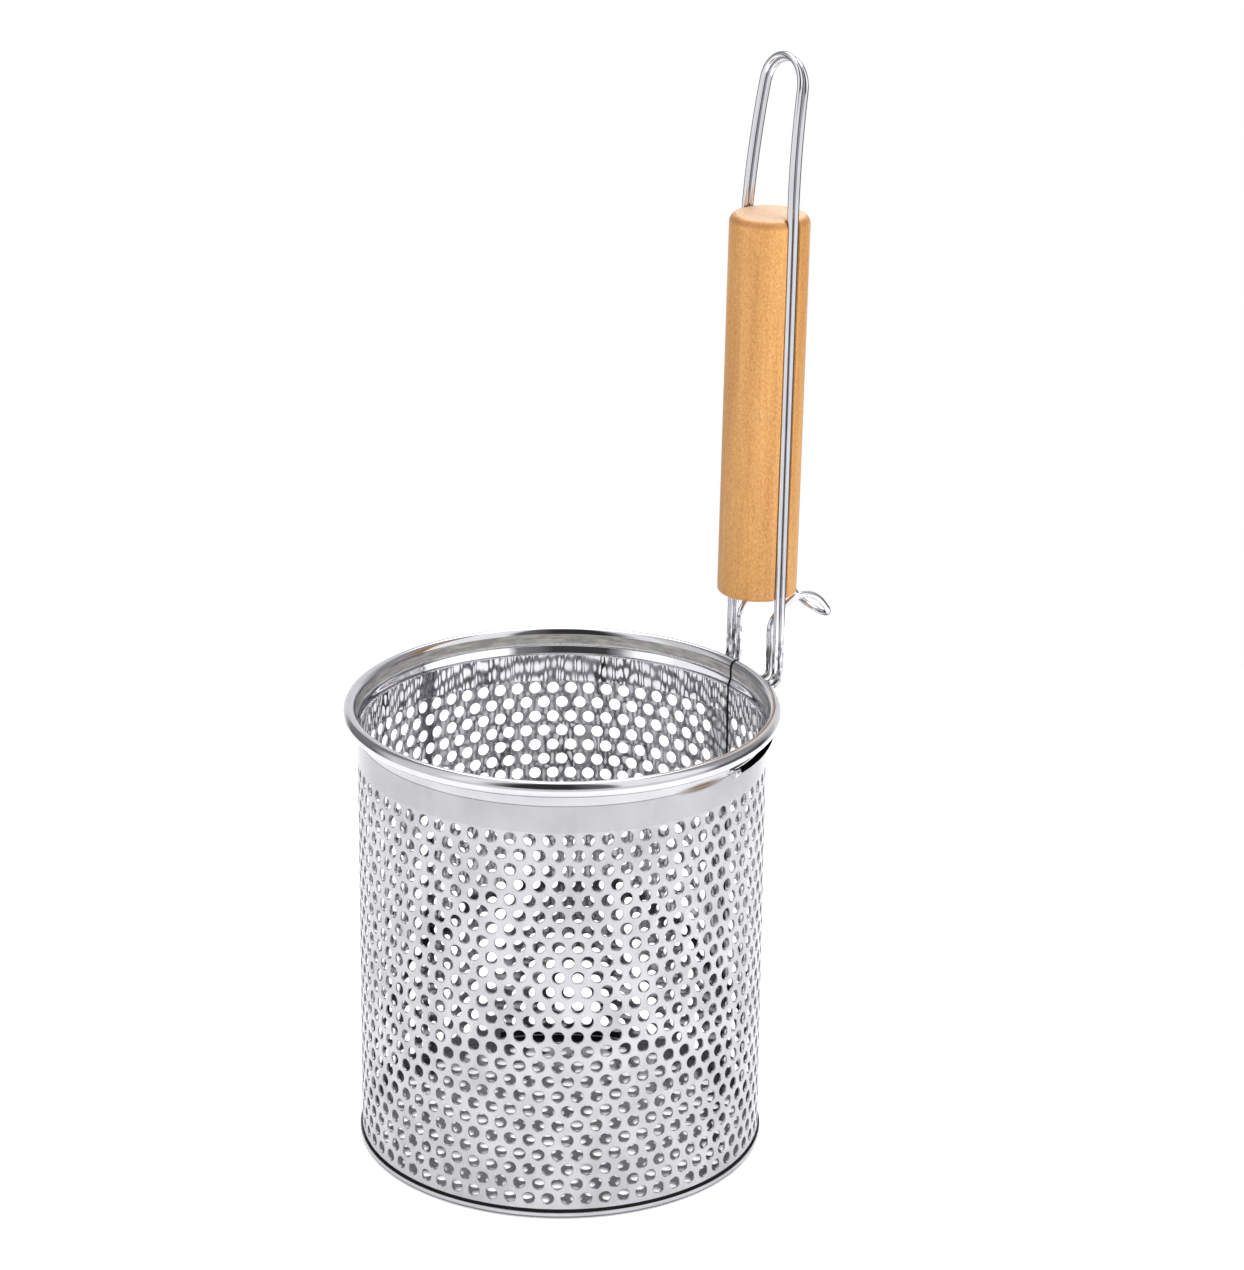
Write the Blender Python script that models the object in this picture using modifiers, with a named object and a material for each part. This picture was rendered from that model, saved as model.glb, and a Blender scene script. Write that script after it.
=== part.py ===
"""A deep boiling basket: a perforated steel cup with a rolled rim, carried by a looped wire
handle with a wooden grip, and a wire hook that hangs it on the edge of a pot.

Origin: the middle of the underside. +Z up, the handle stands towards +X, and the whole
thing is a mirror image of itself across the XZ plane. Lengths are in metres.
"""

import math

import bpy
import numpy as np

# Basket
WALL_RADIUS = 0.070
SHEET = 0.0006
GAP = 0.0003
NECK_START = 0.1520
NECK_END = 0.1546
NECK_STEP_OUT = 0.0010
TURN_STEPS = 72

# Rolled rim, and the stiffening wire inside it
RIM_CENTRE_RADIUS = 0.0726
RIM_HEIGHT = 0.1576
RIM_TUBE_RADIUS = 0.0022
RIM_ROLL_START = 180.0
RIM_ROLL_END = -110.0
RIM_ROLL_POINTS = 9
RIM_WIRE_SIDES = 8

# Bottom cap: a disc whose lip is pressed up round the foot of the wall
CAP_LIP_HEIGHT = 0.0030
CAP_LIP_SHEET = 0.0005
CAP_CORNER = 0.0009

# Wooden grip
GRIP_X = 0.08355
GRIP_BOTTOM = 0.1840
GRIP_LENGTH = 0.1356
GRIP_RADIUS = 0.0139
GRIP_SHOULDER = 0.0035
GRIP_FOOT_EDGE = 0.0010
GRIP_STEPS = 48
GROOVE_WIDTH = 0.0052
GROOVE_FLOOR = 0.0109
LEAN = math.radians(0.9)

# Handle wires: two loops side by side
WIRE_RADIUS = 0.00105
WIRE_PITCH = 0.0024
LOOP_PITCH = 0.0026
LEG_Y_BOTTOM = 0.01315
LEG_Y_TOP = 0.0125
LOOP_BEND_Z = 0.3632
LOOP_OUTER_DROP = 0.0015
LOOP_BEND_Y = 0.0101
LOOP_SLOPE = 0.05
LOOP_CURVE = 1.35
PITCH_GROWTH_HEIGHT = 0.014

# Where the wires turn in under the rim
TURN_CENTRE_Z = 0.1567
OUTER_TURN_RADIUS = 0.0050
INNER_TURN_RADIUS = OUTER_TURN_RADIUS - WIRE_PITCH
WRAP_Z = TURN_CENTRE_Z - OUTER_TURN_RADIUS
WRAP_RADIUS = 0.0715
WRAP_HALF_ANGLE = 72.5
WRAP_BEND_RADIUS = 0.0040
END_RADIUS = 0.0733

# Pot hook
HOOK_Y = 0.0085
HOOK_X = 0.0829
HOOK_STEM_TOP = 0.1711
HOOK_LEAN_RADIUS = 0.0072
HOOK_LEAN_ANGLE = 56.7
HOOK_RISE = 0.0052
HOOK_CROWN_RADIUS = 0.0119
HOOK_CROWN_ANGLE = 85.4
HOOK_FALL = 0.0031
HOOK_TIP_REACH = 0.0060

# Welds
WELD_RADIUS = 0.00075
WELD_END_RADIUS = 0.07215
WELD_END_AZIMUTHS = (5.9, 11.3)
WRAP_WELD_RADIUS = 0.0006
WRAP_WELD_AT = 0.0710
WRAP_WELD_Z = 0.1497
WRAP_WELD_AZIMUTHS = (42.5, 47.5)


def clear_scene():
    for obj in list(bpy.data.objects):
        bpy.data.objects.remove(obj, do_unlink=True)
    for collection in list(bpy.data.collections):
        bpy.data.collections.remove(collection)


def new_collection(name):
    collection = bpy.data.collections.new(name)
    bpy.context.scene.collection.children.link(collection)
    return collection


def make_material(name, colour, roughness, metallic):
    material = bpy.data.materials.new(name)
    material.use_nodes = True
    shader = material.node_tree.nodes["Principled BSDF"]
    shader.inputs["Base Color"].default_value = (*colour, 1.0)
    shader.inputs["Roughness"].default_value = roughness
    shader.inputs["Metallic"].default_value = metallic
    material.diffuse_color = (*colour, 1.0)
    return material


def make_steel(name, roughness):
    return make_material(name, (0.72, 0.72, 0.74), roughness, 1.0)


# ---------------------------------------------------------------- point helpers


def on_circle(centre, radius, degrees):
    angle = math.radians(degrees)
    return (centre[0] + radius * math.cos(angle), centre[1] + radius * math.sin(angle))


def arc(centre, radius, start, end, count):
    """Points on a circle, from the start angle to the end angle, both included."""
    return [on_circle(centre, radius, a) for a in np.linspace(start, end, count)]


def offset_path(path, distance):
    """The path moved to its right by the distance, with each corner kept square to its two sides."""
    points = np.array(path)
    steps = np.diff(points, axis=0)
    steps /= np.linalg.norm(steps, axis=1, keepdims=True)
    before = np.vstack([steps[:1], steps])
    after = np.vstack([steps, steps[-1:]])
    right_before = np.column_stack([before[:, 1], -before[:, 0]])
    right_after = np.column_stack([after[:, 1], -after[:, 0]])
    bisector = right_before + right_after
    bisector /= np.linalg.norm(bisector, axis=1, keepdims=True)
    stretch = 1.0 / np.sum(bisector * right_after, axis=1)
    moved = points + bisector * (distance * stretch)[:, None]
    return [tuple(point) for point in moved]


def across_mirror(half):
    """A half path that ends on the XZ plane, followed by its mirror image back to the other end."""
    other = [(x, -y, z) for x, y, z in reversed(half[:-1])]
    return half + other


def grip_axis_x(z):
    """X of the grip's leaning axis at a height."""
    return GRIP_X + (z - GRIP_BOTTOM) * math.tan(LEAN)


# ---------------------------------------------------------------- object makers


def link_mesh(name, mesh, collection, material):
    obj = bpy.data.objects.new(name, mesh)
    collection.objects.link(obj)
    mesh.materials.append(material)
    return obj


def turned(name, profile, closed, steps, collection, material):
    """A turned body: the profile in the XZ plane, spun once about Z."""
    vertices = [(x, 0.0, z) for x, z in profile]
    edges = [(i, i + 1) for i in range(len(profile) - 1)]
    if closed:
        edges.append((len(profile) - 1, 0))
    mesh = bpy.data.meshes.new(name)
    mesh.from_pydata(vertices, edges, [])
    obj = link_mesh(name, mesh, collection, material)
    screw = obj.modifiers.new("Screw", "SCREW")
    screw.axis = "Z"
    screw.angle = math.tau
    screw.steps = steps
    screw.render_steps = steps
    screw.use_merge_vertices = True
    screw.merge_threshold = 1e-6
    screw.use_smooth_shade = True
    return obj


def wire(name, points, radius, collection, material):
    """A round wire along the points, with flat cut ends."""
    data = bpy.data.curves.new(name, "CURVE")
    data.dimensions = "3D"
    data.bevel_depth = radius
    data.bevel_resolution = 2
    data.use_fill_caps = True
    spline = data.splines.new("POLY")
    spline.points.add(len(points) - 1)
    for target, (x, y, z) in zip(spline.points, points):
        target.co = (x, y, z, 1.0)
    spline.use_smooth = True
    obj = bpy.data.objects.new(name, data)
    collection.objects.link(obj)
    data.materials.append(material)
    return obj


# ---------------------------------------------------------------- basket


def make_basket_wall(collection):
    """The sheet from the foot of the cup up to the neck, then rolled outwards into the rim."""
    middle = WALL_RADIUS - SHEET / 2
    roll_centre = (RIM_CENTRE_RADIUS, RIM_HEIGHT)
    roll_radius = RIM_TUBE_RADIUS - SHEET / 2
    path = [
        (middle, SHEET + GAP),
        (middle, NECK_START),
        (middle + NECK_STEP_OUT, NECK_END),
        *arc(roll_centre, roll_radius, RIM_ROLL_START, RIM_ROLL_END, RIM_ROLL_POINTS),
    ]
    outside = offset_path(path, SHEET / 2)
    inside = offset_path(path, -SHEET / 2)
    profile = outside[::-1] + inside
    steel = make_steel("wall_steel", 0.28)
    return turned("basket_wall", profile, True, TURN_STEPS, collection, steel)


def make_rim_wire(collection):
    """The ring that stiffens the rolled rim, loose inside the roll."""
    bpy.ops.mesh.primitive_torus_add(
        major_radius=RIM_CENTRE_RADIUS,
        minor_radius=RIM_TUBE_RADIUS - SHEET - GAP,
        major_segments=TURN_STEPS,
        minor_segments=RIM_WIRE_SIDES,
        location=(0.0, 0.0, RIM_HEIGHT),
    )
    ring = bpy.context.object
    ring.name = "rim_wire"
    for other in list(ring.users_collection):
        other.objects.unlink(ring)
    collection.objects.link(ring)
    ring.data.shade_smooth()
    ring.data.materials.append(make_steel("rim_wire_steel", 0.3))
    return ring


def make_bottom_cap(collection):
    """The disc that closes the foot of the cup, with its lip up round the outside of the wall."""
    lip_inside = WALL_RADIUS + GAP
    lip_outside = lip_inside + CAP_LIP_SHEET
    profile = [
        (0.0, SHEET),
        (lip_inside - CAP_CORNER / 2, SHEET),
        (lip_inside, SHEET + CAP_CORNER / 2),
        (lip_inside, CAP_LIP_HEIGHT),
        (lip_outside, CAP_LIP_HEIGHT),
        *arc((lip_outside - CAP_CORNER, CAP_CORNER), CAP_CORNER, 0.0, -90.0, 4),
        (0.0, 0.0),
    ]
    steel = make_steel("cap_steel", 0.28)
    return turned("bottom_cap", profile, False, TURN_STEPS, collection, steel)


# ---------------------------------------------------------------- grip


def make_groove_cutter(name, side, collection, grip):
    """A box that runs past both ends of the grip and takes out one groove."""
    depth = GRIP_RADIUS
    middle = (GROOVE_FLOOR + depth / 2) * side
    bpy.ops.mesh.primitive_cube_add(size=1.0, location=(0.0, middle, GRIP_LENGTH / 2))
    cutter = bpy.context.object
    cutter.name = name
    cutter.scale = (GROOVE_WIDTH, depth, 2 * GRIP_LENGTH)
    for other in list(cutter.users_collection):
        other.objects.unlink(cutter)
    collection.objects.link(cutter)
    cutter.parent = grip
    cutter.hide_render = True
    cutter.display_type = "WIRE"
    return cutter


def make_wood_grip(collection, cutters):
    """The turned grip, leaning with the handle, with a groove down each side for the wires."""
    shoulder = (GRIP_RADIUS - GRIP_SHOULDER, GRIP_LENGTH - GRIP_SHOULDER)
    profile = [
        (0.0, GRIP_LENGTH),
        *arc(shoulder, GRIP_SHOULDER, 90.0, 0.0, 5),
        (GRIP_RADIUS, GRIP_FOOT_EDGE),
        (GRIP_RADIUS - GRIP_FOOT_EDGE, 0.0),
        (0.0, 0.0),
    ]
    wood = make_material("grip_wood", (0.62, 0.36, 0.15), 0.5, 0.0)
    grip = turned("wood_grip", profile, False, GRIP_STEPS, collection, wood)
    grip.location = (GRIP_X, 0.0, GRIP_BOTTOM)
    grip.rotation_euler = (0.0, LEAN, 0.0)
    for name, side in (("groove_left", 1), ("groove_right", -1)):
        cut = grip.modifiers.new(name, "BOOLEAN")
        cut.operation = "DIFFERENCE"
        cut.solver = "EXACT"
        cut.object = make_groove_cutter(name, side, cutters, grip)
    return grip


# ---------------------------------------------------------------- wires


def loop_half(side):
    """One wire's way from the bottom of the grip up to the top of the loop, at +Y.

    side is +1 for the wire away from the basket, whose top is the lower one, and -1 for the other.
    """
    grip_top = GRIP_BOTTOM + GRIP_LENGTH
    bend_z = LOOP_BEND_Z
    if side > 0:
        bend_z -= LOOP_OUTER_DROP
    heights = [GRIP_BOTTOM, grip_top]
    heights += list(np.linspace(grip_top, bend_z, 6)[1:])
    places = [(z, leg_y(z, bend_z)) for z in heights]
    places += [(z, y) for y, z in arc((0.0, bend_z), LOOP_BEND_Y, 0.0, 90.0, 6)[1:]]
    return [(loop_x(z, side), y, z) for z, y in places]


def leg_y(z, bend_z):
    """Half the distance between the two legs of a loop at a height below its bend."""
    heights = (GRIP_BOTTOM, GRIP_BOTTOM + GRIP_LENGTH, bend_z)
    return float(np.interp(z, heights, (LEG_Y_BOTTOM, LEG_Y_TOP, LOOP_BEND_Y)))


def loop_x(z, side):
    """X of a wire at a height: along the grip's axis, then curving away from the basket."""
    grip_top = GRIP_BOTTOM + GRIP_LENGTH
    above = max(0.0, z - grip_top)
    middle = grip_axis_x(z) + (LOOP_SLOPE - math.tan(LEAN)) * above + LOOP_CURVE * above**2
    growth = min(1.0, above / PITCH_GROWTH_HEIGHT)
    pitch = WIRE_PITCH + (LOOP_PITCH - WIRE_PITCH) * growth
    return middle + side * pitch / 2


def turn_in(foot_x, turn_radius, y):
    """The quarter turn from running inwards under the rim to standing up as a leg."""
    centre = (foot_x - turn_radius, TURN_CENTRE_Z)
    return [(x, y, z) for x, z in arc(centre, turn_radius, -90.0, 0.0, 5)]


def wrap_half():
    """From the wire's cut end round the wall, then out along the radius towards the leg, at +Y."""
    bend_y = LEG_Y_BOTTOM + WRAP_BEND_RADIUS
    bend_reach = WRAP_RADIUS + WRAP_BEND_RADIUS
    bend_x = math.sqrt(bend_reach**2 - bend_y**2)
    meeting = math.degrees(math.atan2(bend_y, bend_x))
    around = arc((0.0, 0.0), WRAP_RADIUS, WRAP_HALF_ANGLE, meeting, 12)
    bend = arc((bend_x, bend_y), WRAP_BEND_RADIUS, 180.0 + meeting, 270.0, 6)
    return [(x, y, WRAP_Z) for x, y in around + bend[1:]]


def make_outer_handle_wire(collection):
    """The loop away from the basket, whose ends wrap round the wall below the rim."""
    foot_x = loop_x(TURN_CENTRE_Z, 1)
    half = wrap_half() + turn_in(foot_x, OUTER_TURN_RADIUS, LEG_Y_BOTTOM) + loop_half(1)
    steel = make_steel("outer_wire_steel", 0.16)
    return wire("handle_wire_outer", across_mirror(half), WIRE_RADIUS, collection, steel)


def make_inner_handle_wire(collection):
    """The loop nearer to the basket, whose ends stop at the wall under the rim."""
    foot_x = loop_x(TURN_CENTRE_Z, -1)
    end_x = math.sqrt(END_RADIUS**2 - LEG_Y_BOTTOM**2)
    end = (end_x, LEG_Y_BOTTOM, TURN_CENTRE_Z - INNER_TURN_RADIUS)
    half = [end] + turn_in(foot_x, INNER_TURN_RADIUS, LEG_Y_BOTTOM) + loop_half(-1)
    steel = make_steel("inner_wire_steel", 0.16)
    return wire("handle_wire_inner", across_mirror(half), WIRE_RADIUS, collection, steel)


def turned_right(start, heading, radius, angle, count):
    """Points of a bend to the right in the XZ plane, after its start, and the heading it ends on."""
    side = heading - 90.0
    centre = on_circle(start, radius, side)
    points = arc(centre, radius, side + 180.0, side + 180.0 - angle, count)
    return points[1:], heading - angle


def make_hook_wire(collection):
    """Two stems between the legs, rising over a round crown and falling to a rounded tip."""
    end_x = math.sqrt(END_RADIUS**2 - HOOK_Y**2)
    end = (end_x, HOOK_Y, TURN_CENTRE_Z - INNER_TURN_RADIUS)
    stem = [end] + turn_in(HOOK_X, INNER_TURN_RADIUS, HOOK_Y)
    profile = [(HOOK_X, HOOK_STEM_TOP)]
    bend, heading = turned_right(profile[-1], 90.0, HOOK_LEAN_RADIUS, HOOK_LEAN_ANGLE, 4)
    profile += bend
    profile.append(on_circle(profile[-1], HOOK_RISE, heading))
    bend, heading = turned_right(
        profile[-1], heading, HOOK_CROWN_RADIUS, HOOK_CROWN_ANGLE, 7
    )
    profile += bend
    profile.append(on_circle(profile[-1], HOOK_FALL, heading))
    crown = [(x, HOOK_Y, z) for x, z in profile]
    tip = []
    for angle in np.linspace(0.0, math.pi / 2, 6)[1:]:
        x, z = on_circle(profile[-1], HOOK_TIP_REACH * math.sin(angle), heading)
        tip.append((x, HOOK_Y * math.cos(angle), z))
    steel = make_steel("hook_steel", 0.16)
    return wire("hook_wire", across_mirror(stem + crown + tip), WIRE_RADIUS, collection, steel)


def make_weld(name, side, at, z, azimuths, radius, collection):
    """A short bead of weld lying along the wall."""
    points = [(x, side * y, z) for x, y in arc((0.0, 0.0), at, *azimuths, 4)]
    return wire(name, points, radius, collection, make_steel(name + "_steel", 0.4))


def make_welds(collection):
    leg_z = TURN_CENTRE_Z - INNER_TURN_RADIUS
    leg = (WELD_END_RADIUS, leg_z, WELD_END_AZIMUTHS, WELD_RADIUS)
    wrap = (WRAP_WELD_AT, WRAP_WELD_Z, WRAP_WELD_AZIMUTHS, WRAP_WELD_RADIUS)
    for word, side in (("left", 1), ("right", -1)):
        make_weld("leg_weld_" + word, side, *leg, collection)
        make_weld("wrap_weld_" + word, side, *wrap, collection)


def main():
    clear_scene()
    parts = new_collection("boiling_basket")
    cutters = new_collection("cutters")
    make_basket_wall(parts)
    make_rim_wire(parts)
    make_bottom_cap(parts)
    make_wood_grip(parts, cutters)
    make_outer_handle_wire(parts)
    make_inner_handle_wire(parts)
    make_hook_wire(parts)
    make_welds(parts)


main()
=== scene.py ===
"""Looks for the boiling basket: a perforated steel cup, its rolled rim, wire handle, hook and grip.

Lengths are in metres, in the row frame: origin in the middle of the underside, +Z up, the
handle stands towards +X.
"""

import math

import bmesh
import bpy
import numpy as np
from mathutils import Matrix, Vector, geometry


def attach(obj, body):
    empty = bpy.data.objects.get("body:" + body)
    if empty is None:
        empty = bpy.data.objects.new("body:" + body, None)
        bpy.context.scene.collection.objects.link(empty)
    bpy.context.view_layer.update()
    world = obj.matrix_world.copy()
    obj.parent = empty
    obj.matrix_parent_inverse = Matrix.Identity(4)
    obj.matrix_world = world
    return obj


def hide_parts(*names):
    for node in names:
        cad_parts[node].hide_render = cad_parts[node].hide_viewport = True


# Studio: brightness by degrees to the right of the camera's side, and straight above
STUDIO_ROUND = (
    (-180, 1.0), (-152, 1.0), (-140, 0.3), (-112, 0.3), (-98, 0.9), (-74, 1.0), (-66, 1.0),
    (-56, 1.4), (-42, 1.2), (-32, 0.3), (-24, 0.05), (6, 0.05), (14, 0.15), (27, 0.22),
    (33, 1.3), (80, 1.4), (88, 0.6), (120, 0.35), (150, 1.0), (180, 1.0),
)
STUDIO_BELOW = (
    (-180, 1.0), (-150, 1.0), (-136, 0.25), (-108, 0.25), (-92, 1.0), (74, 1.0), (88, 0.2),
    (124, 0.1), (142, 1.0), (180, 1.0),
)
STUDIO_TOP = (1.1, 1.1, 1.1, 1.0)
# Sines of the elevations between which one stretch of the studio turns into the next
HORIZON = (0.03, 0.11)
ZENITH = (0.965, 0.995)

# Lights: name, place, the point it looks at, side of its square, watts, seen in reflections
LIGHTS = (
    ("top_softbox", (0.33, 0.46, 1.5), (0.0, 0.0, 0.0), 1.1, 9.0, True),
    ("left_wash", (-0.29, 0.06, 0.5), (-0.29, 0.06, 0.0), 0.25, 0.6, False),
    ("right_wash", (0.20, -0.23, 0.5), (0.20, -0.23, 0.0), 0.25, 1.1, False),
    ("front_fill", (-0.9, -1.3, 0.9), (0.05, 0.0, 0.2), 0.9, 14.0, False),
)
FLOOR_RADIUS = 0.55
FLOOR_STEPS = 96
FLOOR_Z = -0.0002
FLOOR_GLOW = 0.30
FLOOR_GREY = (0.9, 0.9, 0.9, 1.0)
WHITE = (1.0, 1.0, 1.0, 1.0)

# Camera
CAMERA_PLACE = (-0.74503, -1.04451, 0.66227)
CAMERA_HEADING = math.radians(-36.4)
CAMERA_DROP = math.radians(20.41)
CAMERA_ROLL = math.radians(0.593)
CAMERA_LENS = 114.37
SENSOR = 36.0

# Perforated wall
WALL_RADIUS = 0.070
SHEET = 0.0006
WALL_FOOT = 0.0009
TOP_ROW_Z = 0.1388
ROW_PITCH = 0.005488
ROWS = 25
HOLES_ROUND = 66
HOLE_RADIUS = 0.00214
HOLE_SIDES = 14
HOLE_EDGE = 0.00017
SEAM_AZIMUTH = -2.5
SEAM_WIDTH = 1.05
FIRST_AZIMUTH = 4.306
BACK_PITCH = 5.297
BACK_COLUMNS = 20
SIDE_PITCH = 5.122
SIDE_COLUMNS = 9
FRONT_PITCH = 5.342
# Painted shade at the foot: a dark line outside between these two heights, and a stretch inside round
# the far side
FOOT_LINE_LOW = 0.0018
FOOT_LINE_HIGH = 0.0032
FOOT_SHADE_MIDDLE = 52.8
FOOT_SHADE_HALF = 19.0

# Neck and rolled rim
BAND_ROWS = 4
# From CREASE_START to NECK_START the sheet carries a painted shade line at the foot of the neck
CREASE_START = 0.15085
NECK_START = 0.1512
# Painted shade: above this height the neck behind the wrapped wire is near black
NECK_SHADE_START = 0.1522
NECK_END = 0.1551
NECK_STEP_OUT = 0.0010
NECK_STEPS = 13
RIM_RADIUS = 0.0726
RIM_HEIGHT = 0.1581
RIM_HALF_WIDTH = 0.0022
RIM_HALF_HEIGHT = 0.0028
RIM_ROLL_START = 180.0
RIM_ROLL_END = -110.0
RIM_ROLL_STEPS = 22
RIM_INSIDE_ROWS = 1

# Bottom cap
CAP_LIP_HEIGHT = 0.0022
CAP_LIP_INSIDE = 0.0703
CAP_LIP_OUTSIDE = 0.0708
CAP_CORNER = 0.0009
CAP_HOLE_PITCH = 0.00640
CAP_HOLES_WITHIN = 0.0650
CAP_STEPS = 180
LIP_STEPS = 7
MERGE_SHARE = 1e-7

# Grip
GRIP_X = 0.08355
GRIP_BOTTOM = 0.1840
GRIP_LENGTH = 0.1356
GRIP_TOP = GRIP_BOTTOM + GRIP_LENGTH
GRIP_RADIUS = 0.0139
GRIP_SHOULDER = 0.0035
GRIP_FOOT_EDGE = 0.0010
GROOVE_HALF = 0.0026
GROOVE_FLOOR = 0.0109
GROOVE_CROWN = 0.00002
# The groove's soft lip: distances from its middle, and drops below the round surface
LIP_AT = (0.0036, 0.0031, 0.00278, GROOVE_HALF)
LIP_DROPS = (0.0, 0.00004, 0.00018, 0.00048)
FOOT_EDGE_STEPS = 6
GRIP_ROWS = 40
SHOULDER_STEPS = 12
SIDE_STEPS = 33
SMOOTH_UNDER = math.radians(38)
LEAN = math.radians(0.9)

# Handle wires
WIRE_RADIUS = 0.00105
WIRE_PITCH = 0.0024
LOOP_PITCH = 0.0026
LEG_Y_BOTTOM = 0.01315
LEG_Y_TOP = 0.0125
LOOP_BEND_Z = 0.3632
LOOP_OUTER_DROP = 0.0015
LOOP_BEND_Y = 0.0101
LOOP_SLOPE = 0.05
LOOP_CURVE = 1.35
PITCH_GROWTH_HEIGHT = 0.014
TURN_CENTRE_Z = 0.1567
OUTER_TURN_RADIUS = 0.0050
INNER_TURN_RADIUS = OUTER_TURN_RADIUS - WIRE_PITCH
WRAP_Z = TURN_CENTRE_Z - OUTER_TURN_RADIUS
WRAP_RADIUS = 0.0715
WRAP_HALF_ANGLE = 72.5
WRAP_BEND_RADIUS = 0.0040
END_RADIUS = 0.0733
WIRE_SIDES = 16
WIRE_STEP = 0.0008
LOOP_STEPS = 24
TURN_STEPS = 14
WRAP_STEPS = 60
BEND_STEPS = 16
EASE_PASSES = 3
OUTER_END_SWELL = 0.50
END_SWELL_REACH = 1.5 * WIRE_RADIUS
END_EDGE_SHARE = 0.22
END_CROWN = 1.15

# Pot hook
HOOK_Y = 0.0085
HOOK_X = 0.0829
HOOK_STEM_TOP = 0.1711
# Its bends, up and over: radius, angle, points, and the straight way after each
HOOK_BENDS = ((0.0072, 56.7, 16, 0.0052), (0.0119, 85.4, 28, 0.0031))
HOOK_TIP_REACH = 0.0060

# Welds
WELD_RADIUS = 0.00075
WELD_END_RADIUS = 0.07215
WELD_END_AZIMUTHS = (5.9, 11.3)
WRAP_WELD_RADIUS = 0.0006
WRAP_WELD_AT = 0.0710
WRAP_WELD_Z = 0.1497
WRAP_WELD_AZIMUTHS = (42.5, 47.5)
WELD_STEPS = 40
WELD_LEAD = 0.4
WELD_END_CROWN = 0.05
WELD_BLUNTNESS = 5
WELD_TIP = 0.02
RIPPLE = 0.12
RIPPLE_TURNS = 19.0

# Brown heat marks on the neck: place, how fast they fade along X, Y and Z, and colour
HEAT_AZIMUTH = 84.0
HEAT_Z = 0.1512
HEAT_FALL = (90.0, 90.0, 620.0)
HEAT_FADE = (0.35, 1.1)
HEAT_BROWN = (0.13, 0.085, 0.055, 1.0)

# Tarnish on the wires, by height, which also stands in as a painted dark reflection low on the wires
TARNISH_AND_REFLECTION_FULL = 0.1640
TARNISH_AND_REFLECTION_END = 0.1720
TARNISH_AND_REFLECTION_BLOTCH = (700.0, 700.0, 260.0)
TARNISH_AND_REFLECTION_BROWN = (0.10, 0.085, 0.07, 1.0)
WIRE_EDGE_TONE = (0.13, 0.13, 0.14, 1.0)

# The wrapped wire: painted shade below WRAP_SHADE_Z between two X, and a painted highlight at its cut
# end before them
WRAP_SHADE_Z = (0.1530, 0.1536)
WRAP_SHADE_START = (0.0244, 0.0249)
WRAP_SHADE_STOP = (0.052, 0.060)
WRAP_SHADE_COLOUR = (0.02, 0.02, 0.02, 1.0)
CUT_END_HIGHLIGHT = (0.90, 0.90, 0.92, 1.0)

# Inside of the neck: a polished curve below, rubbed duller towards the bead
NECK_FADE = (0.1546, 0.1556)
NECK_INSIDE_ROUGHNESS = (0.05, 0.38)
FADED_TONES = ((0.38, 0.37, 0.35, 1.0), (0.64, 0.62, 0.59, 1.0))
RUB_STREAK = (140.0, 140.0, 900.0)

# Steel: how close its marks lie, per metre along X, Y and Z
CLOUD_SCALE = 55.0
UPRIGHT = (260.0, 260.0, 30.0)
LEVEL = (90.0, 90.0, 900.0)
ALONG_WIRE = (300.0, 300.0, 40.0)
LUMPS = (1500.0, 1500.0, 1500.0)
EVEN_WAVES = (85.0, 85.0, 85.0)
TALL_WAVES = (110.0, 110.0, 22.0)
SCRATCH_DEPTH = 0.0001
# Noise between which a tone or a roughness goes from its low value to its high one
TONE_SPAN = (0.36, 0.64)
ROUGH_SPAN = (0.3, 0.7)

# Wood: how close its marks lie, and dark and pale tones of the grain, the drift and the end face
WOOD_FINE = (1500.0, 1500.0, 1000.0)
WOOD_FIBRE = (700.0, 700.0, 26.0)
WOOD_BROAD = (120.0, 120.0, 9.0)
GRAIN_TONES = ((0.35, 0.145, 0.032, 1.0), (0.64, 0.340, 0.108, 1.0))
DRIFT_TONES = ((0.33, 0.131, 0.028, 1.0), (0.64, 0.340, 0.110, 1.0))
END_TONES = ((0.52, 0.31, 0.17, 1.0), (0.70, 0.48, 0.33, 1.0))
SHOULDER_BROWN = (0.23, 0.09, 0.025, 1.0)
# Upward part of the normal: where the end face starts, and where the brown comes and goes
END_FACING = (0.80, 0.97)
BROWN_COMES = (0.12, 0.45)
BROWN_GOES = (0.65, 0.92)
PORE_DEPTH = 0.0002

# Painted shade in the seam's gap and in the line above the cap's lip
CREVICE_SPECKS = 900.0
CREVICE_TONES = ((0.004, 0.004, 0.004, 1.0), (0.02, 0.018, 0.016, 1.0))

# Corners closer than this, whose normals round to the same step, are one
WELD_DISTANCE = 2e-7
NORMAL_STEPS = 400


# ---- mesh building ----


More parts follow.
